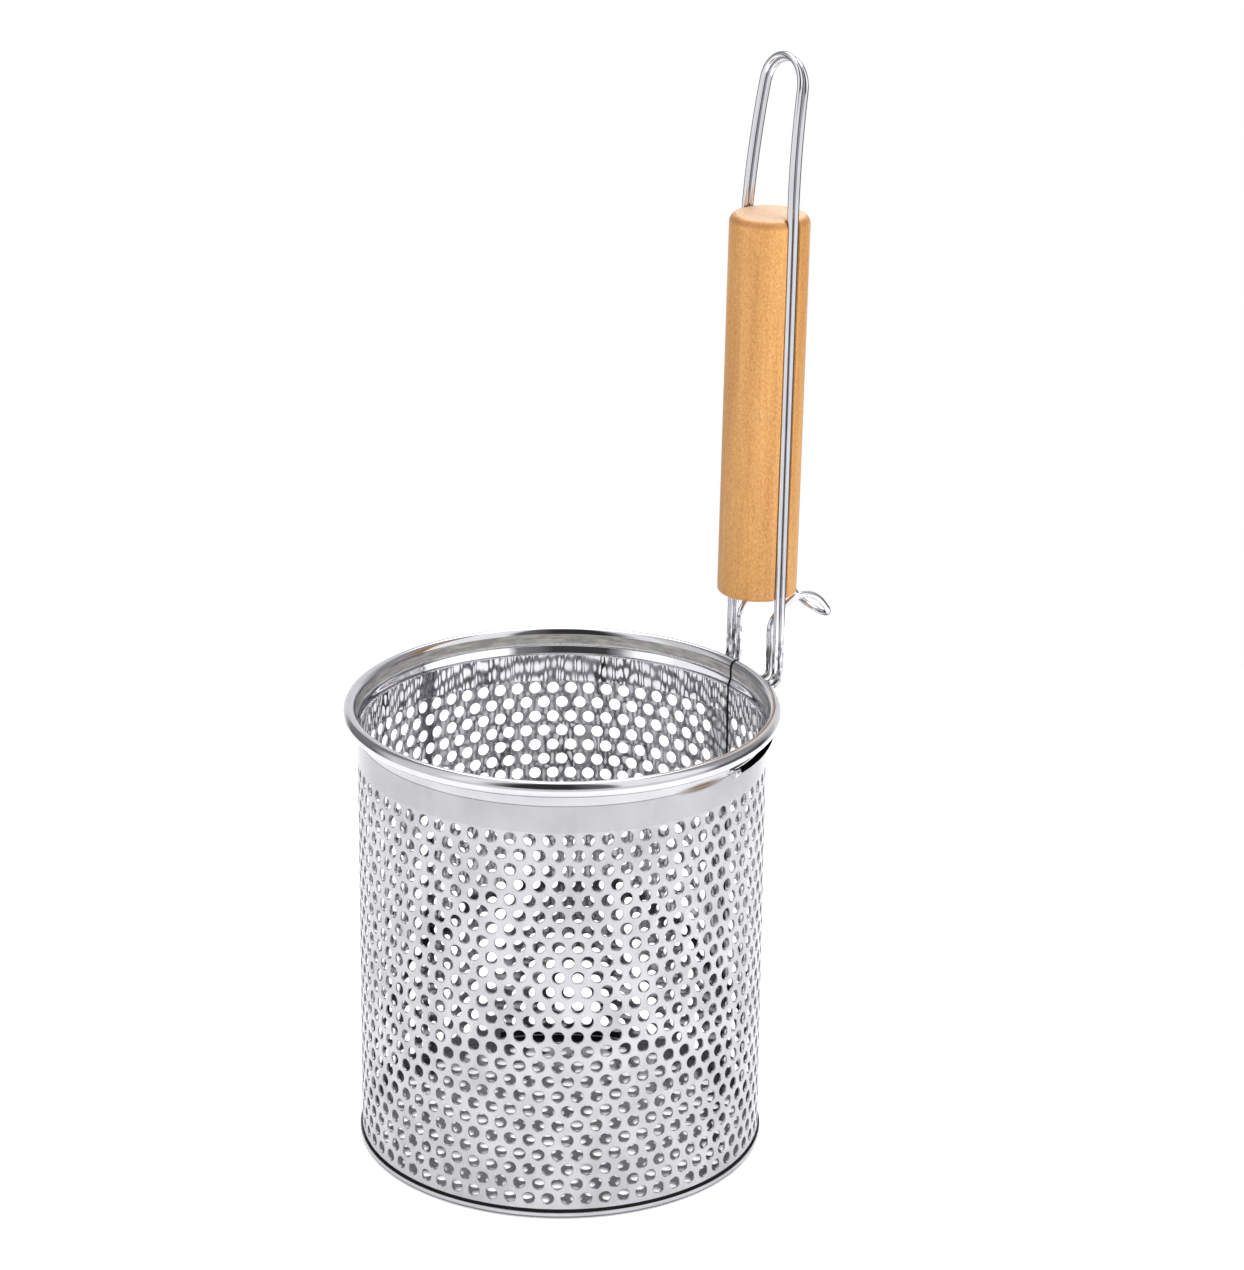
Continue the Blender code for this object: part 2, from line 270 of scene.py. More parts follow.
class Shell:
    """Faces gathered corner by corner with their own normals, then joined where both agree."""

    def __init__(self):
        self.groups = []

    def add(self, corners, normals, look):
        """corners and normals are arrays of faces x corners x 3; the winding follows the normals."""
        corners = np.asarray(corners, float)
        normals = np.broadcast_to(np.asarray(normals, float), corners.shape)
        turn = np.cross(corners[:, 1] - corners[:, 0], corners[:, 2] - corners[:, 0])
        wrong = np.einsum("ij,ij->i", turn, normals.mean(axis=1)) < 0
        corners = np.where(wrong[:, None, None], corners[:, ::-1], corners)
        normals = np.where(wrong[:, None, None], normals[:, ::-1], normals)
        self.groups.append((corners, normals, look))

    def add_grid(self, points, normals, look, closed=False):
        """Quads over a grid of rows x columns x 3. closed joins the last column to the first."""
        points, normals = np.asarray(points, float), np.asarray(normals, float)
        normals = np.broadcast_to(normals, points.shape)
        if closed:
            points, normals = looped(points), looped(normals)
        self.add(grid_corners(points), grid_corners(normals), look)

    def build(self, name, looks):
        points = np.concatenate([c.reshape(-1, 3) for c, _, _ in self.groups])
        normals = np.concatenate([n.reshape(-1, 3) for _, n, _ in self.groups])
        keys = np.column_stack([points / WELD_DISTANCE, normals * NORMAL_STEPS])
        keys = np.round(keys).astype(np.int64)
        _, first, index = np.unique(keys, axis=0, return_index=True, return_inverse=True)
        index = index.reshape(-1)
        used = list(dict.fromkeys(look for _, _, look in self.groups))
        faces, slots, start = [], [], 0
        for corners, _, look in self.groups:
            count, sides = corners.shape[:2]
            stop = start + count * sides
            faces += index[start:stop].reshape(count, sides).tolist()
            slots += [used.index(look)] * count
            start = stop
        mesh = bpy.data.meshes.new(name)
        mesh.from_pydata(points[first].tolist(), [], faces)
        mesh.polygons.foreach_set("material_index", slots)
        mesh.polygons.foreach_set("use_smooth", [True] * len(faces))
        mesh.normals_split_custom_set(normals.tolist())
        for look in used:
            mesh.materials.append(looks[look])
        return add_object(name, mesh)


def add_object(name, data):
    obj = bpy.data.objects.new(name, data)
    bpy.context.scene.collection.objects.link(obj)
    return obj


def stand_in(piece, node):
    """Puts a piece on the one body, in the place of a CAD node, and hides the node."""
    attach(piece, "root")
    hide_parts(node)


def looped(grid):
    """A grid whose first column comes again after its last."""
    return np.concatenate([grid, grid[:, :1]], axis=1)


def grid_corners(grid):
    """The four corners of each cell of a grid of rows x columns x 3."""
    cells = np.stack([grid[:-1, :-1], grid[:-1, 1:], grid[1:, 1:], grid[1:, :-1]], axis=2)
    return cells.reshape(-1, 4, 3)


def fan_corners(ring, centre):
    """The triangles between a ring of points and a point in its middle."""
    return np.stack([ring, np.roll(ring, -1, axis=0), np.broadcast_to(centre, ring.shape)], axis=1)


def runs(flags):
    """The stretches of equal flags, as arrays of places."""
    return np.split(np.arange(len(flags)), np.flatnonzero(np.diff(flags)) + 1)


def unit(vectors):
    return vectors / np.linalg.norm(vectors, axis=-1, keepdims=True)


def arc(centre, radius, start, end, count):
    """Points on a circle, from the start angle to the end angle in degrees, both included."""
    angles = np.radians(np.linspace(start, end, count))
    return np.column_stack([np.cos(angles), np.sin(angles)]) * radius + centre


def circle(centre, radius, count):
    """Points evenly round a circle, each of them once."""
    return arc(centre, radius, 0.0, 360.0 - 360.0 / count, count)


def ring_edges(start, count):
    """The pairs of neighbours in a ring of points whose first one is start."""
    return [(start + k, start + (k + 1) % count) for k in range(count)]


def around(azimuths, radius, z):
    """Points round the Z axis, at azimuths in radians; radius and z may be arrays."""
    azimuths, radius, z = np.broadcast_arrays(azimuths, radius, z)
    return np.stack([radius * np.cos(azimuths), radius * np.sin(azimuths), z], axis=-1)


def azimuths_from(middle, azimuths):
    """Azimuths counted from a middle one, between minus and plus half a turn."""
    return (azimuths - middle + math.pi) % math.tau - math.pi


# ---- perforated wall ----


def column_azimuth(column):
    """Azimuth in radians of a hole column, counted in holes from the plain strip at the seam."""
    column = np.asarray(column, float)
    front = BACK_COLUMNS + SIDE_COLUMNS
    degrees = (
        FIRST_AZIMUTH
        + BACK_PITCH * np.minimum(column, BACK_COLUMNS)
        + SIDE_PITCH * np.clip(column - BACK_COLUMNS, 0, SIDE_COLUMNS)
        + FRONT_PITCH * np.maximum(column - front, 0)
    )
    return np.radians(degrees)


def sheet_columns():
    """Azimuths of all the mesh columns of the wall, from one edge of the seam to the other."""
    inner = column_azimuth(np.arange(0, HOLES_ROUND + 0.75, 0.5))
    start = math.radians(SEAM_AZIMUTH + SEAM_WIDTH / 2)
    end = math.radians(SEAM_AZIMUTH + 360.0 - SEAM_WIDTH / 2)
    return np.concatenate([[start], inner, [end]])


def cell_triangles(corner_angles, ring_angles):
    """Triangles between a ring of corners and the ring of a hole, as index pairs per ring.

    Each triangle is three (ring, place) pairs, ring 0 for the corners and 1 for the hole.
    """
    corners, holes = len(corner_angles), len(ring_angles)
    found, i, j = [], 0, 0
    while i < corners or j < holes:
        corner_next = corner_angles[i + 1] if i + 1 < corners else corner_angles[0] + math.tau
        hole_next = ring_angles[j + 1] if j + 1 < holes else ring_angles[0] + math.tau
        here, there = (0, i % corners), (1, j % holes)
        if j >= holes or (i < corners and corner_next <= hole_next):
            found.append((here, (0, (i + 1) % corners), there))
            i += 1
        else:
            found.append((here, (1, (j + 1) % holes), there))
            j += 1
    return found


def hole_angles():
    return np.arange(HOLE_SIDES) * math.tau / HOLE_SIDES + math.pi / HOLE_SIDES


def hole_cell():
    """The corners of the cell of sheet round a hole, in order of angle, and the cell's triangles.

    The corners are two arrays: columns away from the hole, and heights above it.
    """
    half = ROW_PITCH / 2
    rise = np.array([-half, half, half, half, -half, -half])
    step = np.array([0.5, 0.5, 0.0, -0.5, -0.5, 0.0])
    angles = np.arctan2(rise, step * math.radians(FRONT_PITCH) * WALL_RADIUS)
    angles = np.where(angles < hole_angles()[0], angles + math.tau, angles)
    order = np.argsort(angles)
    return step[order], rise[order], cell_triangles(list(angles[order]), list(hole_angles()))


def hole_places():
    """The column and the height of every hole, row by row from the top."""
    columns, heights = [], []
    for row in range(ROWS):
        shift = 0.0 if row % 2 == 0 else -0.5
        columns += [i + 1 + shift for i in range(HOLES_ROUND)]
        heights += [TOP_ROW_Z - row * ROW_PITCH] * HOLES_ROUND
    return np.array(columns), np.array(heights)


def add_wall_cells(shell):
    """Every hole of the wall with the cell of sheet round it, on both faces, and the hole's edge."""
    columns, heights = hole_places()
    middles = column_azimuth(columns)
    step, rise, triangles = hole_cell()
    corners = column_azimuth(columns[:, None] + step[None])
    inside = WALL_RADIUS - SHEET

    def ring(radius, hole):
        azimuths = middles[:, None] + hole * np.cos(hole_angles())[None] / WALL_RADIUS
        return around(azimuths, radius, heights[:, None] + hole * np.sin(hole_angles())[None])

    rings = [
        ring(WALL_RADIUS, HOLE_RADIUS + HOLE_EDGE),
        ring(WALL_RADIUS - HOLE_EDGE, HOLE_RADIUS),
        ring(inside, HOLE_RADIUS),
    ]
    for radius, hole_ring, way, look in (
        (WALL_RADIUS, rings[0], 1.0, "wall_outside"), (inside, rings[2], -1.0, "wall_inside")
    ):
        both = (around(corners, radius, heights[:, None] + rise[None]), hole_ring)
        faces = np.stack(
            [np.stack([both[r][:, p] for r, p in tri], axis=1) for tri in triangles], axis=1
        ).reshape(-1, 3, 3)
        shell.add(faces, unit(faces * (1.0, 1.0, 0.0)) * way, look)
    add_hole_edges(shell, middles, heights, rings)


def add_hole_edges(shell, middles, heights, rings):
    """The bevel and the straight wall of every hole, between its three rings."""
    outwards = around(middles, 1.0, 0.0)[:, None]
    towards = around(middles[:, None], WALL_RADIUS, heights[:, None]) - rings[0]
    towards -= np.einsum("ijk,ilk->ij", towards, outwards)[..., None] * outwards
    towards = unit(towards)
    for ends in zip(rings, rings[1:], (unit(towards + outwards), towards)):
        low, high, normal = (looped(a) for a in ends)
        quads = np.stack([low[:, :-1], low[:, 1:], high[:, 1:], high[:, :-1]], axis=2)
        turned = np.stack([normal[:, :-1], normal[:, 1:], normal[:, 1:], normal[:, :-1]], axis=2)
        shell.add(quads.reshape(-1, 4, 3), turned.reshape(-1, 4, 3), "hole_edge")


def add_seam_strips(shell):
    """The plain sheet between the end holes of each row and the two edges of the seam."""
    columns = sheet_columns()
    for row in range(ROWS):
        high = TOP_ROW_Z - row * ROW_PITCH + ROW_PITCH / 2
        even = row % 2 == 0
        left = columns[:3] if even else columns[:2]
        right = columns[-2:] if even else columns[-3:]
        for part in (left, right):
            add_band(shell, part, [high, high - ROW_PITCH], "wall_outside", "wall_inside")


def add_band(shell, columns, heights, outer_look, inner_look):
    """A plain stretch of the straight wall, outside and inside."""
    for radius, way, look in ((WALL_RADIUS, 1, outer_look), (WALL_RADIUS - SHEET, -1, inner_look)):
        grid = around(columns[None], radius, np.array(heights)[:, None])
        shell.add_grid(grid, around(columns[None], 1.0, 0.0) * way, look)


def rim_line():
    """The middle line of the sheet from the wall up over the rolled rim, and its normals."""
    middle = WALL_RADIUS - SHEET / 2
    share = np.linspace(0, 1, NECK_STEPS)
    neck = np.column_stack(
        [
            middle + NECK_STEP_OUT * (1 - np.cos(math.pi * share)) / 2,
            NECK_START + (NECK_END - NECK_START) * share,
        ]
    )
    roll = arc((0.0, 0.0), 1.0, RIM_ROLL_START, RIM_ROLL_END, RIM_ROLL_STEPS)
    roll *= (RIM_HALF_WIDTH - SHEET / 2, RIM_HALF_HEIGHT - SHEET / 2)
    roll += (RIM_RADIUS, RIM_HEIGHT)
    line = np.concatenate([neck, roll])
    ahead = np.gradient(line, axis=0)
    ahead[NECK_STEPS - 1 : NECK_STEPS + 1] = (0.0, 1.0)
    ahead = unit(ahead)
    return line, np.column_stack([ahead[:, 1], -ahead[:, 0]])


def spun(profile, normals, columns):
    """A profile of (radius, z) spun over the columns, as grids of points and normals."""
    points = around(columns[None], profile[:, :1], profile[:, 1:])
    turned = around(columns[None], normals[:, :1], normals[:, 1:])
    return points, turned


def band_heights():
    return np.linspace(TOP_ROW_Z + ROW_PITCH / 2, CREASE_START, BAND_ROWS)


def add_rim(shell):
    """The plain band, the neck and the roll, on both faces, and the roll's free edge."""
    columns = sheet_columns()
    add_band(shell, columns, band_heights(), "band", "band_inside")
    # A painted shade line along the crease where the neck starts
    add_band(shell, columns, [CREASE_START, NECK_START], "crease_shade", "band_inside")
    line, side = rim_line()
    points, normals = spun(line - side * SHEET / 2, -side, columns)
    split = NECK_STEPS + RIM_INSIDE_ROWS
    shell.add_grid(points[: split + 1], normals[: split + 1], "neck_inside")
    shell.add_grid(points[split:], normals[split:], "rim")
    points, normals = spun(line + side * SHEET / 2, side, columns)
    # Painted shade: the neck behind the wrapped wire, under the roll, takes the near-black neck_shade
    # look
    behind_wire = np.abs(azimuths_from(0.0, columns)) < math.radians(WRAP_HALF_ANGLE)
    shaded_rows = line[:, 1] > NECK_SHADE_START
    shaded_rows[-RIM_ROLL_STEPS // 2 :] = False
    for rows in runs(shaded_rows):
        rows = np.arange(rows[0], min(rows[-1] + 2, len(line)))
        for part in runs(behind_wire):
            cols = np.arange(part[0], min(part[-1] + 2, len(columns)))
            shaded = shaded_rows[rows[0]] and behind_wire[part[0]]
            block = np.ix_(rows, cols)
            shell.add_grid(points[block], normals[block], "neck_shade" if shaded else "neck")
    edge = np.array([line[-1] + side[-1] * SHEET / 2, line[-1] - side[-1] * SHEET / 2])
    tangent = np.array([-side[-1][1], side[-1][0]])
    points, normals = spun(edge, np.array([tangent, tangent]), columns)
    shell.add_grid(points, normals, "neck")
    return line, side


def add_foot(shell):
    """The plain foot below the last row of holes, with a painted shade line just above the cap's lip.
    """
    columns = sheet_columns()
    bottom = TOP_ROW_Z - (ROWS - 1) * ROW_PITCH - ROW_PITCH / 2
    add_band(shell, columns, [bottom, FOOT_LINE_HIGH], "wall_outside", "wall_inside")
    # Painted shade inside, on the far side of the foot only
    from_middle = azimuths_from(math.radians(FOOT_SHADE_MIDDLE), columns)
    shaded = np.abs(from_middle) < math.radians(FOOT_SHADE_HALF)
    for part in runs(shaded):
        cols = columns[part[0] : part[-1] + 2]
        inside = "neck_shade" if shaded[part[0]] else "wall_inside"
        # The line above the cap's lip is painted shade
        add_band(shell, cols, [FOOT_LINE_HIGH, FOOT_LINE_LOW], "crevice_shade", inside)
        add_band(shell, cols, [FOOT_LINE_LOW, WALL_FOOT], "wall_outside", inside)
    rims = np.array([[WALL_RADIUS, WALL_FOOT], [WALL_RADIUS - SHEET, WALL_FOOT]])
    points, normals = spun(rims, np.array([[0.0, -1.0], [0.0, -1.0]]), columns)
    shell.add_grid(points, normals, "wall_outside")


def seam_profile(line, side):
    """The middle line of the sheet from the foot to the roll's edge, and its normals."""
    rows = TOP_ROW_Z + ROW_PITCH / 2 - np.arange(ROWS + 1) * ROW_PITCH
    heights = [WALL_FOOT, FOOT_LINE_LOW, FOOT_LINE_HIGH, *rows[::-1], *band_heights()[1:]]
    straight = np.column_stack([np.full(len(heights), WALL_RADIUS - SHEET / 2), heights])
    across = np.tile([1.0, 0.0], (len(heights), 1))
    return np.concatenate([straight, line]), np.concatenate([across, side])


def add_edge(shell, faces, azimuth, way):
    """An upright edge between the outer and the inner face of a sheet, looking along its azimuth."""
    grid = np.stack([around(azimuth, f[:, 0], f[:, 1]) for f in faces], axis=1)
    normal = np.array([-math.sin(azimuth), math.cos(azimuth), 0.0]) * way
    # The seam's edges are near black: painted shade in the gap
    shell.add_grid(grid, normal, "crevice_shade")


def make_wall(looks):
    shell = Shell()
    add_wall_cells(shell)
    add_seam_strips(shell)
    line, side = add_rim(shell)
    add_foot(shell)
    middle, across = seam_profile(line, side)
    faces = [middle + across * SHEET / 2, middle - across * SHEET / 2]
    columns = sheet_columns()
    add_edge(shell, faces, columns[0], -1)
    add_edge(shell, faces, columns[-1], 1)
    wall = shell.build("perforated_wall", looks)
    stand_in(wall, "basket_wall")
    make_seam(middle, across, looks)


def make_seam(middle, across, looks):
    """A near-black strip that fills the seam, a little below both faces of the sheet: painted shade in
    the gap.
    """
    shell = Shell()
    columns = sheet_columns()
    edges = np.array([columns[-1] - math.tau, columns[0]])
    depth = SHEET / 5
    faces = [middle + across * depth / 2, middle - across * depth / 2]
    for profile, way in zip(faces, (1, -1)):
        points, normals = spun(profile, across * way, edges)
        shell.add_grid(points, normals, "crevice_shade")
    for edge, way in zip(edges, (-1, 1)):
        add_edge(shell, faces, edge, way)
    for end, way in ((0, -1), (-1, 1)):
        grid = np.stack([around(edges, f[end, 0], f[end, 1]) for f in faces])
        ahead = np.array([-across[end, 1], across[end, 0]]) * way
        shell.add_grid(grid, around(edges, ahead[0], ahead[1])[None], "crevice_shade")
    seam = shell.build("wall_seam", looks)
    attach(seam, "root")


# ---- bottom cap ----


def cap_hole_centres():
    """A triangular lattice of hole centres that fits inside the cap's lip."""
    reach = int(CAP_HOLES_WITHIN / CAP_HOLE_PITCH) + 2
    row_step = CAP_HOLE_PITCH * math.sqrt(3) / 2
    centres = []
    for j in range(-reach, reach + 1):
        for i in range(-reach, reach + 1):
            x = (i + (j % 2) / 2) * CAP_HOLE_PITCH
            y = j * row_step
            if math.hypot(x, y) + HOLE_RADIUS < CAP_HOLES_WITHIN:
                centres.append((x, y))
    return centres


def perforated_disc(radius, centres):
    """The points and the triangles of a disc with round holes."""
    points = circle((0.0, 0.0), radius, CAP_STEPS).tolist()
    edges = ring_edges(0, CAP_STEPS)
    for centre in centres:
        edges += ring_edges(len(points), HOLE_SIDES)
        points += circle(centre, HOLE_RADIUS, HOLE_SIDES).tolist()
    scaled = [Vector((x, y)) / radius for x, y in points]
    made = geometry.delaunay_2d_cdt(scaled, edges, [], 0, MERGE_SHARE)
    found = np.array([tuple(v) for v in made[0]]) * radius
    triangles = np.array(made[2])
    middles = found[triangles].mean(axis=1)
    gaps = np.linalg.norm(middles[:, None] - np.array(centres)[None], axis=2).min(axis=1)
    outside_holes = gaps > HOLE_RADIUS * math.cos(math.pi / HOLE_SIDES)
    keep = outside_holes & (np.linalg.norm(middles, axis=1) < radius)
    return found, triangles[keep]


def make_bottom_cap(looks):
    shell = Shell()
    centres = cap_hole_centres()
    inner = CAP_LIP_INSIDE - CAP_CORNER / 2
    points, triangles = perforated_disc(inner, centres)
    for z, way, look in ((SHEET, 1, "cap_inside"), (0.0, -1, "cap")):
        flat = np.column_stack([points, np.full(len(points), z)])
        shell.add(flat[triangles], (0.0, 0.0, way), look)
    angles = np.arange(HOLE_SIDES + 1) * math.tau / HOLE_SIDES
    for x, y in centres:
        inwards = np.column_stack([-np.cos(angles), -np.sin(angles), np.zeros(len(angles))])
        ring = np.array([x, y, 0.0]) - inwards * HOLE_RADIUS
        shell.add_grid(np.stack([ring, ring + (0.0, 0.0, SHEET)]), inwards[None], "hole_edge")
    columns = np.arange(CAP_STEPS) * math.tau / CAP_STEPS
    lip_middle = (CAP_LIP_INSIDE + CAP_LIP_OUTSIDE) / 2
    lip_half = (CAP_LIP_OUTSIDE - CAP_LIP_INSIDE) / 2
    corner = (CAP_LIP_OUTSIDE - CAP_CORNER, CAP_CORNER)
    lip_top = arc((lip_middle, CAP_LIP_HEIGHT - lip_half), lip_half, 180, 0, LIP_STEPS)
    lip = [(inner, SHEET), (CAP_LIP_INSIDE, SHEET + CAP_CORNER / 2), *lip_top]
    underside = arc(corner, CAP_CORNER, 0, -90, LIP_STEPS)
    profile = np.concatenate([lip, underside, [(inner, 0.0)]])
    ahead = unit(np.gradient(profile, axis=0))
    normals = np.column_stack([-ahead[:, 1], ahead[:, 0]])
    normals[-2:] = (0.0, -1.0)
    grid, turned = spun(profile, normals, columns)
    bend = len(lip)
    shell.add_grid(grid[: bend + 1], turned[: bend + 1], "cap_lip", closed=True)
    # Painted shade: the bottom corner and underside are much darker than the lip
    shell.add_grid(grid[bend:], turned[bend:], "cap_corner_shade", closed=True)
    cap = shell.build("perforated_cap", looks)
    stand_in(cap, "bottom_cap")


# ---- grip ----


def grip_outline():
    """Radii and heights of the turned outline, from the foot's edge to the shoulder's top."""
    foot_centre = (GRIP_RADIUS - GRIP_FOOT_EDGE, GRIP_FOOT_EDGE)
    foot = arc(foot_centre, GRIP_FOOT_EDGE, -90, 0, FOOT_EDGE_STEPS)
    shoulder_centre = (GRIP_RADIUS - GRIP_SHOULDER, GRIP_LENGTH - GRIP_SHOULDER)
    heights = np.linspace(foot_centre[1], shoulder_centre[1], GRIP_ROWS)[1:-1]
    straight = np.column_stack([np.full(len(heights), GRIP_RADIUS), heights])
    shoulder = arc(shoulder_centre, GRIP_SHOULDER, 0, 90, SHOULDER_STEPS)
    return np.concatenate([foot, straight, shoulder])


def grip_section(radius):
    """The outline of the grip across its axis: round, with a soft-lipped groove on each side."""
    lips, drops = np.array(LIP_AT), np.array(LIP_DROPS)
    start = math.asin(min(1.0, lips[0] / radius))
    angles = np.linspace(start, math.pi - start, SIDE_STEPS)
    far = radius * np.column_stack([np.sin(angles), np.cos(angles)])
    surface = np.sqrt(np.maximum(radius**2 - lips**2, 0))
    lip = np.column_stack([lips, np.maximum(surface - drops, np.minimum(surface, GROOVE_FLOOR))])
    floor_y = min(GROOVE_FLOOR, math.sqrt(max(radius**2 - GROOVE_HALF**2, 0)))
    middle_y = min(GROOVE_FLOOR, radius)
    crown_y = min(middle_y, floor_y + GROOVE_CROWN)
    floor = np.array([(GROOVE_HALF / 2, crown_y), (GROOVE_HALF, floor_y)])
    top = np.concatenate([[(0.0, middle_y)], floor, lip[::-1][:-1]])
    right = np.concatenate([top, far, (top * (1, -1))[::-1]])
    left = (right[1:-1] * (-1, 1))[::-1]
    return np.concatenate([right, left])


def make_grip(looks):
    outline = grip_outline()
    sections = np.array([grip_section(r) for r, _ in outline])
    rows, count = sections.shape[:2]
    points = np.zeros((rows, count, 3))
    points[:, :, :2] = sections
    points[:, :, 2] = outline[:, 1:2]
    vertices = points.reshape(-1, 3).tolist()
    sides = ring_edges(0, count)
    faces = []
    for i in range(0, (rows - 1) * count, count):
        faces += [(i + j, i + k, i + count + k, i + count + j) for j, k in sides]
    for start, z in ((0, 0.0), ((rows - 1) * count, GRIP_LENGTH)):
        faces += [(start + j, start + k, len(vertices)) for j, k in sides]
        vertices.append((0.0, 0.0, z))
    mesh = bpy.data.meshes.new("turned_grip")
    mesh.from_pydata(vertices, [], faces)
    mesh.polygons.foreach_set("use_smooth", [True] * len(faces))
    fix_winding(mesh)
    mesh.materials.append(looks["wood"])
    mesh.set_sharp_from_angle(angle=SMOOTH_UNDER)
    lean = Matrix.Translation((GRIP_X, 0, GRIP_BOTTOM)) @ Matrix.Rotation(LEAN, 4, "Y")
    mesh.transform(lean)
    stand_in(add_object("turned_grip", mesh), "wood_grip")


def fix_winding(mesh):
    """Makes every face of a closed mesh look outwards."""
    work = bmesh.new()
    work.from_mesh(mesh)
    bmesh.ops.recalc_face_normals(work, faces=work.faces)
    work.to_mesh(mesh)
    work.free()


# ---- wires ----


def grip_axis_x(z):
    """X of the grip's leaning axis at a height."""
    return GRIP_X + (z - GRIP_BOTTOM) * math.tan(LEAN)


def leg_y(z, bend_z):
    """Half the distance between the two legs of a loop at a height below its bend."""
    heights = (GRIP_BOTTOM, GRIP_TOP, bend_z)
    return float(np.interp(z, heights, (LEG_Y_BOTTOM, LEG_Y_TOP, LOOP_BEND_Y)))


def loop_x(z, side):
    """X of a wire at a height: along the grip's axis, then curving away from the basket."""
    above = max(0.0, z - GRIP_TOP)
    middle = grip_axis_x(z) + (LOOP_SLOPE - math.tan(LEAN)) * above + LOOP_CURVE * above**2
    growth = min(1.0, above / PITCH_GROWTH_HEIGHT)
    pitch = WIRE_PITCH + (LOOP_PITCH - WIRE_PITCH) * growth
    return middle + side * pitch / 2


def loop_half(side):
    """One wire's way from the bottom of the grip up to the top of the loop, at +Y."""
    bend_z = LOOP_BEND_Z
    if side > 0:
        bend_z -= LOOP_OUTER_DROP
    heights = [GRIP_BOTTOM, *np.linspace(GRIP_TOP, bend_z, LOOP_STEPS)]
    places = [(z, leg_y(z, bend_z)) for z in heights]
    places += [(z, y) for y, z in arc((0.0, bend_z), LOOP_BEND_Y, 0.0, 90.0, LOOP_STEPS)[1:]]
    return [(loop_x(z, side), y, z) for z, y in places]


def turn_in(foot_x, turn_radius, y):
    """The quarter turn from running inwards under the rim to standing up as a leg."""
    centre = (foot_x - turn_radius, TURN_CENTRE_Z)
    return [(x, y, z) for x, z in arc(centre, turn_radius, -90.0, 0.0, TURN_STEPS)]


def welded_start(foot_x, y):
    """From a wire's end, welded to the wall under the rim, to where it stands upright."""
    end = (math.sqrt(END_RADIUS**2 - y**2), y, TURN_CENTRE_Z - INNER_TURN_RADIUS)
    return [end] + turn_in(foot_x, INNER_TURN_RADIUS, y)


def wrap_half():
    """From the wire's cut end round the wall, then out along the radius towards the leg, at +Y."""
    bend_y = LEG_Y_BOTTOM + WRAP_BEND_RADIUS
    bend_reach = WRAP_RADIUS + WRAP_BEND_RADIUS
    bend_x = math.sqrt(bend_reach**2 - bend_y**2)
    meeting = math.degrees(math.atan2(bend_y, bend_x))
    round_wall = arc((0.0, 0.0), WRAP_RADIUS, WRAP_HALF_ANGLE, meeting, WRAP_STEPS)
    bend = arc((bend_x, bend_y), WRAP_BEND_RADIUS, 180.0 + meeting, 270.0, BEND_STEPS)
    return [(x, y, WRAP_Z) for x, y in np.concatenate([round_wall, bend[1:]])]


def across_mirror(half):
    """A half path that ends on the XZ plane, followed by its mirror image back to the other end."""
    half = [tuple(p) for p in half]
    return half + [(x, -y, z) for x, y, z in reversed(half[:-1])]


def distances(points):
    """How far along its path each point lies."""
    return np.concatenate([[0.0], np.cumsum(np.linalg.norm(np.diff(points, axis=0), axis=1))])


def smooth_path(points, step):
    """The path resampled at even steps, with its corners eased."""
    points = np.array(points, float)
    along = distances(points)
    spots = np.linspace(0.0, along[-1], int(round(along[-1] / step)) + 1)
    path = np.column_stack([np.interp(spots, along, points[:, k]) for k in range(3)])
    for _ in range(EASE_PASSES):
        path[1:-1] = (path[:-2] + 2 * path[1:-1] + path[2:]) / 4
    return path


def sweep(path, radii):
    """Rings of a round tube along a path with no twist, their normals, and the way ahead."""
    ahead = unit(np.gradient(path, axis=0))
    start = np.cross(ahead[0], (0.0, 0.0, 1.0) if abs(ahead[0, 2]) < 0.9 else (1.0, 0.0, 0.0))
    side = unit(start)
    angles = np.arange(WIRE_SIDES) * math.tau / WIRE_SIDES
    rings, normals = [], []
    for point, direction, radius in zip(path, ahead, radii):
        side = unit(side - direction * side.dot(direction))
        other = np.cross(direction, side)
        spokes = np.cos(angles)[:, None] * side + np.sin(angles)[:, None] * other
        rings.append(point + spokes * radius)
        normals.append(spokes)
    return np.array(rings), np.array(normals), ahead


def make_wire(name, points, step, end_swell, looks):
    """A round wire along the points, whose cut ends are slightly spread and rounded over."""
    path = smooth_path(points, step)
    along = distances(path)
    from_end = np.minimum(along, along[-1] - along)
    radii = WIRE_RADIUS * (1 + end_swell * np.exp(-((from_end / END_SWELL_REACH) ** 2)))
    rings, normals, ahead = sweep(path, radii)
    shell = Shell()
    shell.add_grid(rings, normals, "wire", closed=True)
    for end, way in ((0, -1), (-1, 1)):
        add_cut_end(shell, path[end], ahead[end] * way, rings[end], normals[end], radii[end])
    return shell.build(name, looks)


def add_cut_end(shell, middle, outwards, ring, spokes, radius):
    """The rounded-over face of a cut end."""
    tilts = np.radians([0.0, 30.0, 60.0, 90.0])
    edge = radius * END_EDGE_SHARE
    grid, normals = [], []
    for tilt in tilts:
        inset = edge * (1 - math.cos(tilt))
        grid.append(ring - spokes * inset + outwards * edge * math.sin(tilt))
        normals.append(spokes * math.cos(tilt) + outwards * math.sin(tilt))
    shell.add_grid(np.array(grid), np.array(normals), "wire", closed=True)
    shell.add(fan_corners(grid[-1], middle + outwards * edge * END_CROWN), outwards, "wire")


def make_handle_wires(looks):
    foot_x = loop_x(TURN_CENTRE_Z, 1)
    half = wrap_half() + turn_in(foot_x, OUTER_TURN_RADIUS, LEG_Y_BOTTOM) + loop_half(1)
    path = across_mirror(half)
    outer = make_wire("outer_loop_wire", path, WIRE_STEP, OUTER_END_SWELL, looks)
    stand_in(outer, "handle_wire_outer")
    half = welded_start(loop_x(TURN_CENTRE_Z, -1), LEG_Y_BOTTOM) + loop_half(-1)
    inner = make_wire("inner_loop_wire", across_mirror(half), WIRE_STEP, 0.0, looks)
    stand_in(inner, "handle_wire_inner")


